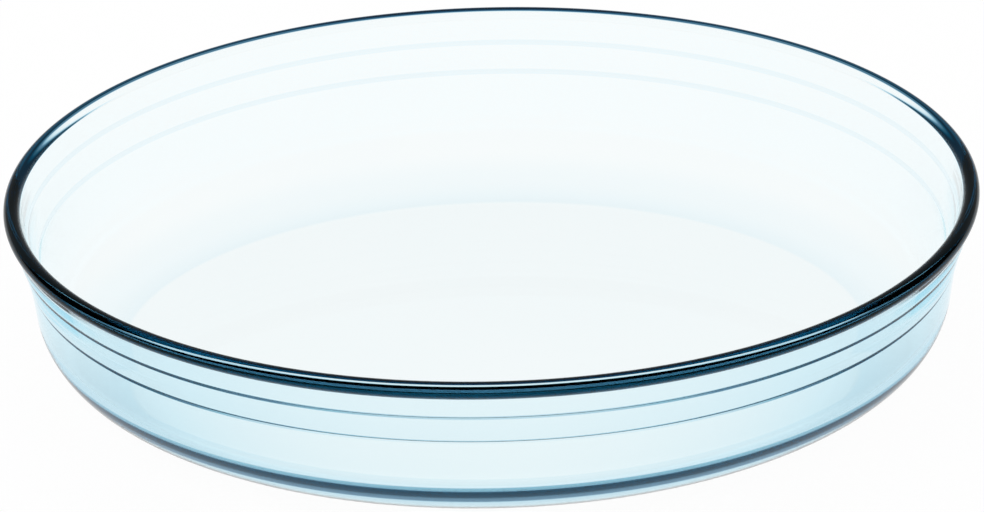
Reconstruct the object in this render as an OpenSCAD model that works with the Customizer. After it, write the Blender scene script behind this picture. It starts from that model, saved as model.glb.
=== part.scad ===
// Oval baking dish, pressed in one piece from clear tempered glass.
// The origin is the middle of the standing face, with X along the dish and Z up.
// The wall's section is drawn by its inset, the level distance inward from the outer edge of the rim.

/* [Oval plan] */
// Length over the rim
dish_l = 350; // [320:5:420]
// Width over the rim
dish_w = 240; // [200:5:280]
// Height from the standing face to the top of the rim
dish_h = 74; // [66:1:95]

/* [Rim] */
// Width of the rounded rim bead
rim_w = 5.8; // [5:0.1:8]
// How far the bead stands out past the wall under it
rim_lip = 1.3; // [0.3:0.1:1.8]

/* [Wall] */
// Thickness of the lower wall
wall_t = 4.8; // [3.5:0.1:6.5]
// Flare of the upper wall's outer face from the vertical, in degrees
upper_flare = 8.2; // [4:0.1:12]
// Flare of the lower wall from the vertical, in degrees
lower_flare = 2; // [0.5:0.1:3.5]

/* [Ledges] */
// Drop from the top of the rim to the upper ledge
upper_ledge_drop = 14.5; // [10:0.1:22]
// Drop from the top of the rim to the lower ledge
lower_ledge_drop = 26.7; // [24:0.1:33]
// How far the wall steps in at each ledge
ledge_d = 0.5; // [0.2:0.1:1.2]

/* [Base] */
// Thickness of the floor
base_t = 5; // [3.5:0.1:7]
// Radius of the outer corner between wall and base
corner_r = 30; // [22:1:31]
// Radius of the inner corner between wall and floor
fillet_r = 25; // [16:1:27]

/* [Hidden] */
$fn = 64;

half_l = dish_l / 2;
half_w = dish_w / 2;
rim_r = rim_w / 2;

// The plan is an oval of three arcs to a quarter, each tangent to the next, within half a
// millimetre of an ellipse. The end arc hands over to the shoulder arc along end_dir, and that to
// the side arc along side_dir. Both are directions in whole-number right triangles, 3-4-5 and
// 44-117-125, so neighbouring arcs meet face to face.
end_dir = [0.8, 0.6];
side_dir = [0.352, 0.936];

// What each radius gains on the one before it. The side arc's gain is a share of how much longer
// than wide the oval is, to the nearest half millimetre, and the shoulder's closes the oval.
SIDE_SHARE = 1.72;
GAIN_STEP = 0.5;
spread = half_l - half_w;
side_gain = round(SIDE_SHARE * spread / GAIN_STEP) * GAIN_STEP;
shoulder_gain = (spread + (1 - side_dir.x - side_dir.y) * side_gain) / (end_dir.x + end_dir.y - 1);

end_r = half_l - end_dir.x * shoulder_gain - side_dir.x * side_gain;
shoulder_r = end_r + shoulder_gain;
side_r = shoulder_r + side_gain;

end_c = [half_l - end_r, 0];
shoulder_c = end_c - shoulder_gain * end_dir;
side_c = [0, half_w - side_r];

// A vector turned over to the left, turned over to the front, or turned a quarter anticlockwise
function left(v) = [-v.x, v.y];
function front(v) = [v.x, -v.y];
function quarter(v) = [-v.y, v.x];

// Arcs of the whole oval, each as centre, radius, and the directions from its centre to its two ends
ARCS = [
    [end_c, end_r, front(end_dir), end_dir],
    [shoulder_c, shoulder_r, end_dir, side_dir],
    [side_c, side_r, side_dir, left(side_dir)],
    [left(shoulder_c), shoulder_r, left(side_dir), left(end_dir)],
    [left(end_c), end_r, left(end_dir), -end_dir],
    [-shoulder_c, shoulder_r, -end_dir, -side_dir],
    [front(side_c), side_r, -side_dir, front(side_dir)],
    [front(shoulder_c), shoulder_r, front(side_dir), front(end_dir)],
];

// Heights of the bead's middle and of the two ledges
rim_z = dish_h - rim_r;
upper_z = dish_h - upper_ledge_drop;
lower_z = dish_h - lower_ledge_drop;

// Insets of the outer wall at the foot of each flared band, above its ledge
upper_x = rim_lip + (rim_z - upper_z) * tan(upper_flare);
lower_x = upper_x + ledge_d + (upper_z - ledge_d - lower_z) * tan(upper_flare);

// Inset of the lower wall's outer face at height z
function lower_wall_x(z) = lower_x + ledge_d + (lower_z - ledge_d - z) * tan(lower_flare);
// Inset of the lower wall's inner face at height z
function inner_wall_x(z) = lower_wall_x(z) + wall_t / cos(lower_flare);

// Middles of the two corner circles. Each bites a hair into the straight wall that it blends into,
// so that line and circle cross cleanly.
bite = 0.02;
corner_c = [lower_wall_x(corner_r) + corner_r / cos(lower_flare) - bite, corner_r];
fillet_z = base_t + fillet_r;
fillet_c = [inner_wall_x(fillet_z) + fillet_r / cos(lower_flare) - bite, fillet_z];

// The wall's ring ends on the flat floor, and the floor's plate laps into it
ring_lap = 4;
ring_x = max(corner_c.x, fillet_c.x) + 2 * ring_lap;
// Room by which the hollow is drawn past the rim and past the ring
clear = 1;
// Length of the wedges that cut the arcs out of whole rings, well past the rim, and how much wider
// than its arc each wedge is at its far end, so that neighbouring arcs overlap by a hair
reach = 1000;
overlap = 0.0003;
// Straight edges along each arc of the floor plate's hidden outline
PLATE_STEPS = 10;

// The half of a disc that lies towards the rim's edge
module half_disc(r) {
    intersection() {
        circle(r = r);
        translate([-r, -r]) square([r, 2 * r]);
    }
}

// Everything inside the outer face of the wall, as inset and height
module outer_section() {
    polygon([
        [rim_lip, rim_z],
        [upper_x, upper_z],
        [upper_x + ledge_d, upper_z - ledge_d],
        [lower_x, lower_z],
        [lower_x + ledge_d, lower_z - ledge_d],
        [lower_wall_x(corner_r), corner_r],
        corner_c,
        [corner_c.x, 0],
        [ring_x, 0],
        [ring_x, rim_z],
    ]);
    translate([rim_r, rim_z]) circle(r = rim_r);
    translate(corner_c) half_disc(corner_r);
}

// The hollow of the dish, from the inner face of the wall to past the ring. The inner face runs
// straight from the bead to the lower wall, which it meets level with the lower ledge.
module hollow_section() {
    top_z = dish_h + clear;
    far_x = ring_x + clear;
    polygon([
        [rim_w, top_z],
        [rim_w, rim_z],
        [inner_wall_x(lower_z), lower_z],
        [inner_wall_x(fillet_z), fillet_z],
        fillet_c,
        [fillet_c.x, base_t],
        [far_x, base_t],
        [far_x, top_z],
    ]);
    translate(fillet_c) half_disc(fillet_r);
}

module wall_section() {
    difference() {
        outer_section();
        hollow_section();
    }
}

// One arc of the wall: the section turned about that arc's centre, and cut to its two ends
module wall_arc(arc) {
    translate(arc[0])
        intersection() {
            rotate_extrude()
                translate([arc[1], 0])
                    mirror([1, 0])
                        wall_section();
            linear_extrude(height = dish_h + clear)
                polygon([
                    [0, 0],
                    reach * arc[2] - overlap * quarter(arc[2]),
                    reach * arc[3] + overlap * quarter(arc[3]),
                ]);
        }
}

// The flat floor inside the ring
module floor_plate() {
    inset = ring_x - ring_lap;
    linear_extrude(height = base_t)
        polygon([
            for (arc = ARCS)
                for (i = [0:PLATE_STEPS - 1])
                    let (v = arc[2] + (arc[3] - arc[2]) * i / PLATE_STEPS)
                        arc[0] + (arc[1] - inset) * v / norm(v)
        ]);
}

module dish() {
    color("lightcyan") {
        for (arc = ARCS) wall_arc(arc);
        floor_plate();
    }
}

dish();
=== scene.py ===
"""Oval baking dish in clear tempered glass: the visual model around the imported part."""

import math

import bpy
from mathutils import Matrix, Vector


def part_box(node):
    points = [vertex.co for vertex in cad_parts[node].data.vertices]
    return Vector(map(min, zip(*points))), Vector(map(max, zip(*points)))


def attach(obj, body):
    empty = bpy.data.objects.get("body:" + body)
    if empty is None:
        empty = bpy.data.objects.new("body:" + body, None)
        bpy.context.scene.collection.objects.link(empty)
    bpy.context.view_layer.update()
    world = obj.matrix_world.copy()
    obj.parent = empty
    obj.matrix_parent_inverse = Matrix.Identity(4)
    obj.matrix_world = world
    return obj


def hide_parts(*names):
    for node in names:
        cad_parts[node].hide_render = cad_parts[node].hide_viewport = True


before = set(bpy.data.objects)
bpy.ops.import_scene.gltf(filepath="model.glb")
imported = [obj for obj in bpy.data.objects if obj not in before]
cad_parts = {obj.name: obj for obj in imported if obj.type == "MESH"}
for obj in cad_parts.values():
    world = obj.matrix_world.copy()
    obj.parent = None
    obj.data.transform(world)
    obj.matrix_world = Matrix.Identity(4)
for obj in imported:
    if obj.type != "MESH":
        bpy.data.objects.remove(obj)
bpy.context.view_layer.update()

MM = 0.001

# Driving sizes in millimetres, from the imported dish, which is centred over the origin
top_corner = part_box("dish")[1]
HALF_L = top_corner.x / MM
HALF_W = top_corner.y / MM
DISH_H = top_corner.z / MM

# Section of the wall, in millimetres. Insets run level, inward from the rim's outer edge.
RIM_R = 2.9           # radius of the rim's bead
RIM_LIP = 1.3         # how far the rim's bead stands out past the wall under it
WALL_T = 4.8
UPPER_FLARE = math.radians(8.2)
LOWER_FLARE = math.radians(2.0)
UPPER_DROP = 14.5     # from the top of the rim to each ledge
LOWER_DROP = 26.7
LEDGE_D = 0.5
BASE_T = 5.0
CORNER_R = 30.0       # outer corner between wall and base
FILLET_R = 25.0       # inner corner between wall and floor
NECK_R = 0.7          # fillet under the rim's bead
LEDGE_R = 0.25        # rounding of the ledges' edges
BEND_R = 60.0         # soft bend of the inner face between its two flares
RING_LAP = 4.0        # half the width of the flat strip past the corner arcs

RIM_Z = DISH_H - RIM_R
UPPER_Z = DISH_H - UPPER_DROP
LOWER_Z = DISH_H - LOWER_DROP
UPPER_X = RIM_LIP + (RIM_Z - UPPER_Z) * math.tan(UPPER_FLARE)
LOWER_X = UPPER_X + LEDGE_D + (UPPER_Z - LEDGE_D - LOWER_Z) * math.tan(UPPER_FLARE)

# Steps of the mesh
AROUND = 384          # round the oval
BEAD_STEPS = 72
NECK_STEPS = 8
LEDGE_STEPS = 5
CORNER_SPLIT = 210    # angle in degrees at which the outer corner's fine steps end
CORNER_FINE = 28      # steps above that angle, and below it
CORNER_COARSE = 20
FILLET_STEPS = 28
BEND_STEPS = 8
FLOOR_RINGS = 4       # rings from the floor's middle to its edge

# Painted shade of the glass, from 0 to 1: dark bands in its colour that stand in for the dim room and
# shaded floor that the glass bends and mirrors into view. Each list holds (place, shade) along a part
# of the section: the bead by its angle over the outer side, and the outer corner by its angle below
# the level, in degrees. Plain shades show from everywhere. Edge shades show where the surface turns
# away from the eye, and wall shades where it turns further away.
BEAD_PAINTED_SHADE = [
    (-24, 0.0), (-16, 0.95), (8, 0.95), (20, 0.75), (40, 0.75), (46, 0.36), (58, 0.36), (64, 0.1),
    (97, 0.1), (101, 0.7), (117, 0.7), (127, 0.0),
]
BEAD_PAINTED_EDGE_SHADE = [(-70, 0.95), (50, 0.95), (58, 0.92), (92, 0.92), (98, 1.0), (172, 1.0), (180, 0.0)]
BEAD_SHADE_REACH = 2 * RIM_R + 0.1    # the bead's painted shade ends at this inset
# painted shade of the outer corner: the dark line along the dish's foot, and a faint one over the base
CORNER_PAINTED_SHADE = [(35, 0.0), (60, 0.05), (89.9, 0.1)]
CORNER_PAINTED_EDGE_SHADE = [
    (7.5, 0.0), (9.0, 0.5), (12.0, 0.56), (13.4, 0.94), (19.2, 0.94), (20.6, 0.68), (25.0, 0.63),
    (27.5, 0.0),
]
# painted shade of the ledges: dark lines along them, on their faces and on the wall beside them
LEDGE_PAINTED_SHADE = 0.1
LEDGE_FACE_PAINTED_SHADE = 0.78     # painted edge shade of the ledge's own narrow face
LEDGE_FACE_NZ = -0.4  # that face's normal points down by more than this
LEDGE_WALL_PAINTED_SHADE = 0.95     # painted wall shade of a ledge
LEDGE_SHADE_ABOVE = 0.4     # how far a ledge's painted shade reaches up the wall, and down it
LEDGE_SHADE_BELOW = 1.0
# painted shade of the wall between the ledges and the base: a blue-grey darkening where it turns from the
# eye
UPPER_WALL_PAINTED_SHADE = 0.26
LOWER_WALL_PAINTED_SHADE = 0.36
WALL_SHADE_EASE_Z = 15.0    # the wall's painted shade eases off from this height to the upper ledge
WALL_SHADE_FADE_LOW = 8.0   # heights between which the wall's painted shade fades out towards the base
WALL_SHADE_FADE_HIGH = 17.0

# Extra points on the wall's straight runs, so that a ledge's painted shade ends where it should. They lie
# inside and past the shade's end, as shares of its reach.
LONG_RUN = 2.0        # a straight run longer than this gets them
SAME_NORMAL = 0.02    # and so small a change of its normal
TONE_INSIDE = 0.7
TONE_PAST_BELOW = 1.1
TONE_PAST_ABOVE = 1.5

# Glass
GLASS_IOR = 1.47
GLASS_SPECULAR = (0.0, 0.2, 0.3, 1.0)
ABSORB_COLOR = (0.10, 0.75, 0.90, 1.0)
ABSORB_DENSITY = 14.0
CLEAR_SCALE = 14.0    # slow variation of the clear glass's colour
CLEAR_DETAIL = 2.0
CLEAR_STOPS = [(0.0, (0.975, 0.995, 0.998, 1.0)), (1.0, (0.995, 1.0, 1.0, 1.0))]
WAVE_SCALE = 45.0     # waviness of pressed glass, and the haze on it
WAVE_DETAIL = 1.0
WAVE_STRENGTH = 0.3
WAVE_DEPTH = 0.00004
HAZE = 0.02
HAZE_FROM = 0.45
HAZE_TO = 0.75
FACING_BLEND = 0.5    # Facing is then one less the cosine of the angle between normal and view
# Facing at which the painted edge shades start and are full, and the same for the painted wall shades
EDGE_SHADE_FROM = 0.2
EDGE_SHADE_TO = 0.36
WALL_SHADE_FROM = 0.2
WALL_SHADE_TO = 0.52
# Colour of the glass by its painted shade, from clear to near black
PAINTED_SHADE_STOPS = [
    (0.0, (1.0, 1.0, 1.0, 1.0)),
    (0.25, (0.60, 0.82, 0.93, 1.0)),
    (0.5, (0.10, 0.30, 0.45, 1.0)),
    (0.625, (0.012, 0.055, 0.12, 1.0)),
    (0.8, (0.0006, 0.012, 0.028, 1.0)),
    (0.9, (0.0, 0.003, 0.012, 1.0)),
    (1.0, (0.0, 0.0002, 0.001, 1.0)),
]

# Floor, in metres
FLOOR_HALF = 4.0
FLOOR_GAP = 0.0002    # the floor lies this much under the dish
FLOOR_GREY = 0.94
FLOOR_WHITE = 0.95    # share of the floor that is plain white to the eye

# World, as the glass sees it. Heights and depths are those of the direction of view, from -1 to 1.
ROOM_DIM = 0.04       # brightness of the upper room
ROOM_LOW = 0.0        # heights between which it falls to that
ROOM_HIGH = 0.12
SWEEP_LIGHT = 0.4     # brightness of the sweep behind the dish
SWEEP_SIDE = 0.25     # depths between which it rises to that
SWEEP_FULL = 0.5

# Lamp, in metres and watts
KEY_PLACE = (-0.7, -0.6, 1.6)
KEY_SIZE = 0.9
KEY_WATTS = 2.0

# Camera at the photograph's angle, in pixels, millimetres, metres and degrees
FOCAL_PX = 2522.394
PICTURE_W = 984
SENSOR_W = 36.0
DISTANCE = 0.93043
ELEVATION = math.radians(36.5248)
AZIMUTH = math.radians(-0.0836)
ROLL = math.radians(1.3920)
AIM = Vector((0.0, 0.0, 0.035))
AIM_RISE = 0.00266    # the camera stands this far up and to the side of the line to its aim
AIM_SIDE = -0.00037
CLIP_START = 0.01

# Light paths long enough for many faces of glass
LIGHT_BOUNCES = 32
GLOSSY_BOUNCES = 16

WHITE = (1.0, 1.0, 1.0, 1.0)


def outer_x(z):
    """Inset of the lower wall's outer face at height z."""
    return LOWER_X + LEDGE_D + (LOWER_Z - LEDGE_D - z) * math.tan(LOWER_FLARE)


def inner_x(z):
    """Inset of the lower wall's inner face at height z."""
    return outer_x(z) + WALL_T / math.cos(LOWER_FLARE)


def arc_points(centre, radius, start, end, steps, side=1.0):
    """Points (x, z, nx, nz) of an arc by its angles in degrees. Side -1 turns the normals to the centre."""
    made = []
    for i in range(steps + 1):
        a = math.radians(start + (end - start) * i / steps)
        c, s = math.cos(a), math.sin(a)
        made.append((centre[0] + radius * c, centre[1] + radius * s, side * c, side * s))
    return made


def corner_arc(before, corner, after, radius, steps):
    """The corner of a path rounded to a tangent arc. Solid lies to the left of the path."""
    p, q, r = Vector(before), Vector(corner), Vector(after)
    u, v = (q - p).normalized(), (r - q).normalized()
    turn = 1 if u.x * v.y - u.y * v.x > 0 else -1
    half = math.acos(max(-1.0, min(1.0, u.dot(v)))) / 2
    start = q - u * (radius * math.tan(half))
    to_centre = Vector((-u.y, u.x)) * turn
    centre = start + to_centre * radius
    made = []
    for i in range(steps + 1):
        arm = Matrix.Rotation(2 * half * i / steps * turn, 2) @ (-to_centre)
        point = centre + arm * radius
        normal = arm * turn
        made.append((point.x, point.y, normal.x, normal.y))
    return made


def neck_centre(bead):
    """Centre of the fillet that touches the bead and the upper wall's outer face."""
    down = Vector((math.sin(UPPER_FLARE), -math.cos(UPPER_FLARE)))
    out = Vector((-math.cos(UPPER_FLARE), -math.sin(UPPER_FLARE)))
    start = Vector((RIM_LIP, RIM_Z)) + out * NECK_R - Vector(bead)
    lead = start.dot(down)
    drop = -lead + math.sqrt(lead * lead - start.length_squared + (RIM_R + NECK_R) ** 2)
    return Vector(bead) + start + down * drop


def wall_profile():
    """The wall's section from the flat floor inside, over the rim, to the flat base."""
    lower_deg = math.degrees(LOWER_FLARE)
    upper_deg = math.degrees(UPPER_FLARE)
    fillet_z = BASE_T + FILLET_R
    fillet_c = (inner_x(fillet_z) + FILLET_R / math.cos(LOWER_FLARE), fillet_z)
    corner_c = (outer_x(CORNER_R) + CORNER_R / math.cos(LOWER_FLARE), CORNER_R)
    ring_x = max(fillet_c[0], corner_c[0]) + 2 * RING_LAP
    bead = (RIM_R, RIM_Z)

    # the inner face runs straight from the bead to the lower wall, level with the lower ledge
    inner_foot = (inner_x(LOWER_Z), LOWER_Z)
    reach = Vector(inner_foot) - Vector(bead)
    lean = math.atan2(reach.x, -reach.y) - math.asin(RIM_R / reach.length)
    inner_top = (RIM_R + RIM_R * math.cos(lean), RIM_Z + RIM_R * math.sin(lean))
    path = [(ring_x, BASE_T, 0.0, 1.0)]
    path += arc_points(fillet_c, FILLET_R, 270, 180 - lower_deg, FILLET_STEPS, side=-1.0)
    path += corner_arc((inner_x(fillet_z), fillet_z), inner_foot, inner_top, BEND_R, BEND_STEPS)

    # the rim's bead, and the neck under it
    neck = neck_centre(bead)
    to_neck = (neck - Vector(bead)).normalized()
    meet = math.degrees(math.atan2(to_neck.y, to_neck.x)) % 360
    path += arc_points(bead, RIM_R, math.degrees(lean), meet, BEAD_STEPS)
    path += arc_points(neck, NECK_R, meet - 180, upper_deg, NECK_STEPS, side=-1.0)[1:]

    # the outer wall's ledges, each with an upper and a lower edge
    corners = [
        (RIM_LIP, RIM_Z),
        (UPPER_X, UPPER_Z),
        (UPPER_X + LEDGE_D, UPPER_Z - LEDGE_D),
        (LOWER_X, LOWER_Z),
        (LOWER_X + LEDGE_D, LOWER_Z - LEDGE_D),
        (outer_x(CORNER_R), CORNER_R),
    ]
    for before, corner, after in zip(corners, corners[1:], corners[2:]):
        path += corner_arc(before, corner, after, LEDGE_R, LEDGE_STEPS)

    # the outer corner, and the flat base
    path += arc_points(corner_c, CORNER_R, 180 + lower_deg, CORNER_SPLIT, CORNER_FINE)
    path += arc_points(corner_c, CORNER_R, CORNER_SPLIT, 270, CORNER_COARSE)[1:]
    path += [(ring_x, 0.0, 0.0, -1.0)]
    return path


def refine(path):
    """The path with extra points near both ends of each long straight run."""
    made = [path[0]]
    for a, b in zip(path, path[1:]):
        run = math.hypot(b[0] - a[0], b[1] - a[1])
        turned = abs(a[2] - b[2]) + abs(a[3] - b[3])
        if run > LONG_RUN and turned < SAME_NORMAL:
            after_start = [LEDGE_SHADE_BELOW * share for share in (TONE_INSIDE, TONE_PAST_BELOW)]
            before_end = [run - LEDGE_SHADE_ABOVE * share for share in (TONE_PAST_ABOVE, TONE_INSIDE)]
            for d in after_start + before_end:
                made.append(tuple(p + (q - p) * (d / run) for p, q in zip(a, b)))
        made.append(b)
    return made


def smooth(x, low, high):
    """Zero below low, one above high, with a soft step between."""
    t = max(0.0, min(1.0, (x - low) / (high - low)))
    return t * t * (3 - 2 * t)


def tone_along(stops, place):
    """The tone at a place, from a list of (place, tone) stops, and 0 outside the list."""
    if place < stops[0][0]:
        return 0.0
    for (a, first), (b, second) in zip(stops, stops[1:]):
        if place <= b:
            return first + (second - first) * smooth(place, a, b)
    return 0.0


def painted_shades_at(x, z, nx, nz):
    """Plain, edge and wall painted shade at a point of the section, by its place and its normal."""
    if z > RIM_Z - RIM_R and x < BEAD_SHADE_REACH:
        turn = math.degrees(math.atan2(z - RIM_Z, RIM_R - x))
        return tone_along(BEAD_PAINTED_SHADE, turn), tone_along(BEAD_PAINTED_EDGE_SHADE, turn), 0.0
    if nx >= 0 or z > RIM_Z - RIM_R:
        return 0.0, 0.0, 0.0
    for ledge_z in (UPPER_Z, LOWER_Z):
        if ledge_z - LEDGE_D - LEDGE_SHADE_BELOW < z < ledge_z + LEDGE_SHADE_ABOVE:
            return LEDGE_PAINTED_SHADE, LEDGE_FACE_PAINTED_SHADE if nz < LEDGE_FACE_NZ else 0.0, LEDGE_WALL_PAINTED_SHADE
    wall = LOWER_WALL_PAINTED_SHADE + (UPPER_WALL_PAINTED_SHADE - LOWER_WALL_PAINTED_SHADE) * smooth(z, WALL_SHADE_EASE_Z, UPPER_Z)
    wall *= smooth(z, WALL_SHADE_FADE_LOW, WALL_SHADE_FADE_HIGH)
    if z >= CORNER_R:
        return 0.0, 0.0, wall
    turn = math.degrees(math.asin(min(1.0, (CORNER_R - z) / CORNER_R)))
    return tone_along(CORNER_PAINTED_SHADE, turn), tone_along(CORNER_PAINTED_EDGE_SHADE, turn), wall


def oval_edge():
    """Points and outward normals of the rim's outer edge: an ellipse, stepped by its normal."""
    made = []
    for i in range(AROUND):
        a = 2 * math.pi * i / AROUND
        c, s = math.cos(a), math.sin(a)
        size = math.hypot(HALF_L * c, HALF_W * s)
        made.append((HALF_L * HALF_L * c / size, HALF_W * HALF_W * s / size, c, s))
    return made


def close_flat(points, normals, faces, first, up):
    """Close the ring of points that starts at number first by a flat face, in rings to a middle point."""
    edge = points[first:first + AROUND]
    last = first
    for ring in range(1, FLOOR_RINGS):
        share = 1 - ring / FLOOR_RINGS
        start = len(points)
        points += [(x * share, y * share, z) for x, y, z in edge]
        normals += [(0.0, 0.0, up)] * AROUND
        for i in range(AROUND):
            j = (i + 1) % AROUND
            quad = (last + i, last + j, start + j, start + i)
            faces.append(quad if up > 0 else quad[::-1])
        last = start
    middle = len(points)
    points.append((0.0, 0.0, edge[0][2]))
    normals.append((0.0, 0.0, up))
    for i in range(AROUND):
        tri = (last + i, last + (i + 1) % AROUND, middle)
        faces.append(tri if up > 0 else tri[::-1])


def build_dish():
    """The dish as one closed mesh with exact normals, and its painted shades as attributes."""
    profile = refine(wall_profile())
    edge = oval_edge()
    points, normals, faces = [], [], []
    for x, z, nx, nz in profile:
        for ex, ey, c, s in edge:
            points.append(((ex - x * c) * MM, (ey - x * s) * MM, z * MM))
            normals.append((-nx * c, -nx * s, nz))
    last_row = (len(profile) - 1) * AROUND
    for row in range(0, last_row, AROUND):
        for i in range(AROUND):
            j = (i + 1) % AROUND
            faces.append((row + i, row + AROUND + i, row + AROUND + j, row + j))
    close_flat(points, normals, faces, 0, 1.0)
    close_flat(points, normals, faces, last_row, -1.0)

    mesh = bpy.data.meshes.new("dish_glass")
    mesh.from_pydata(points, [], faces)
    mesh.shade_smooth()
    mesh.normals_split_custom_set_from_vertices([Vector(n).normalized() for n in normals])
    mesh.validate(clean_customdata=False)
    mesh.update()
    # painted shade of the glass, stored per point for its colour
    tones = [painted_shades_at(*place) for place in profile]
    for k, name in enumerate(("plain_painted_shade", "edge_painted_shade", "wall_painted_shade")):
        values = [tone[k] for tone in tones for _ in range(AROUND)]
        values += [0.0] * (len(points) - len(values))
        mesh.attributes.new(name, "FLOAT", "POINT").data.foreach_set("value", values)
    made = bpy.data.objects.new("dish_glass", mesh)
    bpy.context.scene.collection.objects.link(made)
    return made


def add_node(tree, kind, inputs=None, **settings):
    """A new node. Each input is a value, or the socket that feeds it, by its name or number."""
    made = tree.nodes.new(kind)
    for name, value in settings.items():
        setattr(made, name, value)
    for key, value in (inputs or {}).items():
        if isinstance(value, bpy.types.NodeSocket):
            tree.links.new(value, made.inputs[key])
        else:
            made.inputs[key].default_value = value
    return made


def math_node(tree, operation, a, b, **settings):
    """The result of a math node on two values or sockets."""
    return add_node(tree, "ShaderNodeMath", {0: a, 1: b}, operation=operation, **settings).outputs[0]


def soft_step(tree, value, low, high, start=0.0, end=1.0):
    """A smooth step from start to end while the value goes from low to high."""
    inputs = {"Value": value, "From Min": low, "From Max": high, "To Min": start, "To Max": end}
    return add_node(tree, "ShaderNodeMapRange", inputs, interpolation_type="SMOOTHSTEP").outputs["Result"]


def color_ramp(tree, value, stops):
    """A colour ramp over the given (place, colour) stops, the first at 0 and the last at 1."""
    made = add_node(tree, "ShaderNodeValToRGB", {"Fac": value})
    elements = made.color_ramp.elements
    elements[0].color = stops[0][1]
    elements[1].color = stops[-1][1]
    for place, color in stops[1:-1]:
        elements.new(place).color = color
    return made.outputs["Color"]


def noise(tree, place, scale, detail):
    """The value of a noise at a place."""
    inputs = {"Vector": place, "Scale": scale, "Detail": detail}
    return add_node(tree, "ShaderNodeTexNoise", inputs).outputs["Fac"]


def empty_material(name):
    """A material whose tree holds only an output. Gives the material, its tree and that output."""
    mat = bpy.data.materials.new(name)
    mat.use_nodes = True
    mat.node_tree.nodes.clear()
    return mat, mat.node_tree, mat.node_tree.nodes.new("ShaderNodeOutputMaterial")


def painted_shade_color(tree):
    """Colour of the glass's painted shade: the deepest of the dish's plain, edge and wall painted shades."""
    facing = add_node(tree, "ShaderNodeLayerWeight", {"Blend": FACING_BLEND}).outputs["Facing"]
    plain, edge, wall = [
        add_node(tree, "ShaderNodeAttribute", attribute_name=name).outputs["Fac"]
        for name in ("plain_painted_shade", "edge_painted_shade", "wall_painted_shade")
    ]
    edge = math_node(tree, "MULTIPLY", edge, soft_step(tree, facing, EDGE_SHADE_FROM, EDGE_SHADE_TO))
    wall = math_node(tree, "MULTIPLY", wall, soft_step(tree, facing, WALL_SHADE_FROM, WALL_SHADE_TO))
    lines = math_node(tree, "MAXIMUM", edge, plain)
    return color_ramp(tree, math_node(tree, "MAXIMUM", lines, wall), PAINTED_SHADE_STOPS)


def glass_material():
    """Clear tempered glass with a sea-blue tint that deepens with the path through it, and painted shade in
    its colour.
    """
    mat, tree, out = empty_material("tempered_glass")
    place = add_node(tree, "ShaderNodeTexCoord").outputs["Object"]
    clear = color_ramp(tree, noise(tree, place, CLEAR_SCALE, CLEAR_DETAIL), CLEAR_STOPS)
    toned = add_node(
        tree,
        "ShaderNodeMix",
        {"Factor": 1.0, "A": clear, "B": painted_shade_color(tree)},
        data_type="RGBA",
        blend_type="MULTIPLY",
    )
    # faint waviness and haze of pressed glass
    wave = noise(tree, place, WAVE_SCALE, WAVE_DETAIL)
    bump = add_node(
        tree, "ShaderNodeBump", {"Strength": WAVE_STRENGTH, "Distance": WAVE_DEPTH, "Height": wave}
    )
    haze = add_node(
        tree,
        "ShaderNodeMapRange",
        {"Value": wave, "From Min": HAZE_FROM, "From Max": HAZE_TO, "To Max": HAZE},
    )
    glass = add_node(
        tree,
        "ShaderNodeBsdfPrincipled",
        {
            "Transmission Weight": 1.0,
            "IOR": GLASS_IOR,
            "Specular Tint": GLASS_SPECULAR,
            "Base Color": toned.outputs["Result"],
            "Roughness": haze.outputs["Result"],
            "Normal": bump.outputs["Normal"],
        },
    )
    absorb = add_node(tree, "ShaderNodeVolumeAbsorption", {"Color": ABSORB_COLOR, "Density": ABSORB_DENSITY})
    tree.links.new(glass.outputs["BSDF"], out.inputs["Surface"])
    tree.links.new(absorb.outputs["Volume"], out.inputs["Volume"])
    return mat


def floor_material():
    """Floor that is white to the eye, and in and through the glass, and keeps the dish's soft shadow."""
    mat, tree, out = empty_material("floor_white")
    path = add_node(tree, "ShaderNodeLightPath").outputs
    by_glass = math_node(tree, "MAXIMUM", path["Is Glossy Ray"], path["Is Transmission Ray"])
    to_eye = math_node(tree, "MULTIPLY", path["Is Camera Ray"], FLOOR_WHITE)
    diffuse = add_node(tree, "ShaderNodeBsdfDiffuse", {"Color": (FLOOR_GREY, FLOOR_GREY, FLOOR_GREY, 1.0)})
    glow = add_node(tree, "ShaderNodeEmission", {"Color": WHITE, "Strength": 1.0})
    mix = add_node(
        tree,
        "ShaderNodeMixShader",
        {
            "Fac": math_node(tree, "MAXIMUM", by_glass, to_eye),
            1: diffuse.outputs["BSDF"],
            2: glow.outputs["Emission"],
        },
    )
    tree.links.new(mix.outputs["Shader"], out.inputs["Surface"])
    return mat


def build_floor():
    """A square floor just under the dish."""
    corners = [(-1, -1), (1, -1), (1, 1), (-1, 1)]
    mesh = bpy.data.meshes.new("floor")
    mesh.from_pydata([(FLOOR_HALF * x, FLOOR_HALF * y, -FLOOR_GAP) for x, y in corners], [], [(0, 1, 2, 3)])
    mesh.materials.append(floor_material())
    made = bpy.data.objects.new("floor", mesh)
    bpy.context.scene.collection.objects.link(made)
    return made


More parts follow.
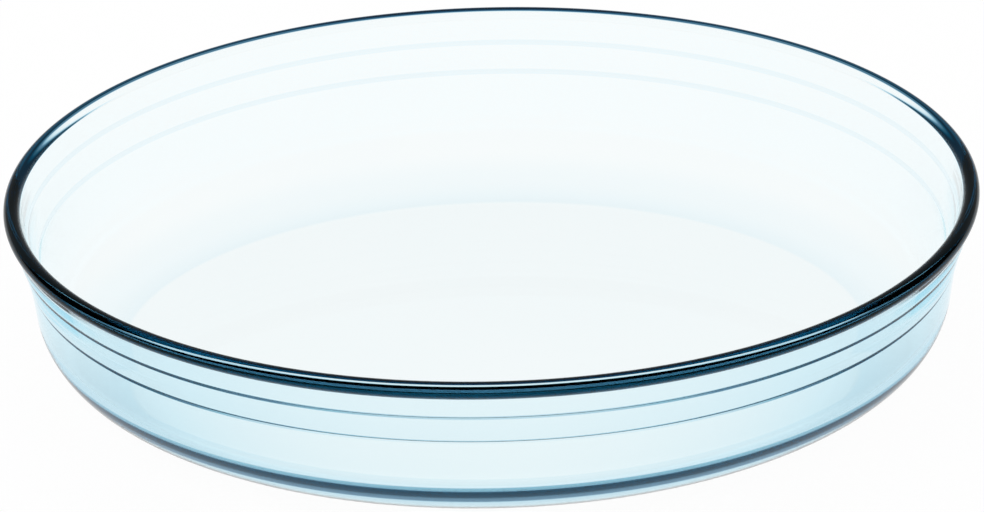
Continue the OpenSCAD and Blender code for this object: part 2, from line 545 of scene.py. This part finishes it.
def build_world():
    """A plain white sky to the eye and for the light on the floor. The clear glass itself mirrors and
    bends into view a dim upper room, with a white sweep behind the dish."""
    world = bpy.data.worlds.new("studio")
    bpy.context.scene.world = world
    world.use_nodes = True
    tree = world.node_tree
    tree.nodes.clear()
    place = add_node(tree, "ShaderNodeTexCoord").outputs["Generated"]
    axes = add_node(tree, "ShaderNodeSeparateXYZ", {"Vector": place}).outputs
    room = soft_step(tree, axes["Z"], ROOM_LOW, ROOM_HIGH, start=1.0, end=ROOM_DIM)
    sweep = soft_step(tree, axes["Y"], SWEEP_SIDE, SWEEP_FULL, end=SWEEP_LIGHT)
    by_glass = add_node(tree, "ShaderNodeBackground", {"Color": math_node(tree, "MAXIMUM", room, sweep)})
    plain = add_node(tree, "ShaderNodeBackground", {"Color": WHITE})
    path = add_node(tree, "ShaderNodeLightPath").outputs
    other = math_node(tree, "ADD", path["Is Camera Ray"], path["Diffuse Depth"], use_clamp=True)
    mix = add_node(
        tree,
        "ShaderNodeMixShader",
        {"Fac": other, 1: by_glass.outputs["Background"], 2: plain.outputs["Background"]},
    )
    add_node(tree, "ShaderNodeOutputWorld", {"Surface": mix.outputs["Shader"]})


def build_key():
    """A soft square lamp that looks at the middle of the dish."""
    data = bpy.data.lights.new("key", "AREA")
    data.shape = "SQUARE"
    data.size = KEY_SIZE
    data.energy = KEY_WATTS
    lamp = bpy.data.objects.new("key", data)
    lamp.location = KEY_PLACE
    lamp.rotation_mode = "QUATERNION"
    lamp.rotation_quaternion = (-Vector(KEY_PLACE)).to_track_quat("-Z", "Y")
    lamp.visible_glossy = False
    lamp.visible_transmission = False
    bpy.context.scene.collection.objects.link(lamp)


def build_camera():
    """The camera, looking along -back, with its roll about that line."""
    back = Vector(
        (
            math.sin(AZIMUTH) * math.cos(ELEVATION),
            -math.cos(AZIMUTH) * math.cos(ELEVATION),
            math.sin(ELEVATION),
        )
    )
    level = Vector((math.cos(AZIMUTH), math.sin(AZIMUTH), 0.0))
    rise = back.cross(level)
    right = level * math.cos(ROLL) - rise * math.sin(ROLL)
    up = level * math.sin(ROLL) + rise * math.cos(ROLL)
    data = bpy.data.cameras.new("camera")
    data.sensor_width = SENSOR_W
    data.lens = FOCAL_PX / PICTURE_W * SENSOR_W
    data.clip_start = CLIP_START
    camera = bpy.data.objects.new("camera", data)
    camera.matrix_world = Matrix((right, up, back)).transposed().to_4x4()
    camera.location = AIM + back * DISTANCE + up * AIM_RISE + right * AIM_SIDE
    bpy.context.scene.collection.objects.link(camera)
    return camera


dish = build_dish()
dish.data.materials.append(glass_material())
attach(dish, "root")
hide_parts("dish")

floor = build_floor()

build_world()
build_key()
bpy.context.scene.camera = build_camera()

scene = bpy.context.scene
scene.view_settings.view_transform = "Standard"
scene.cycles.max_bounces = LIGHT_BOUNCES
scene.cycles.transmission_bounces = LIGHT_BOUNCES
scene.cycles.glossy_bounces = GLOSSY_BOUNCES
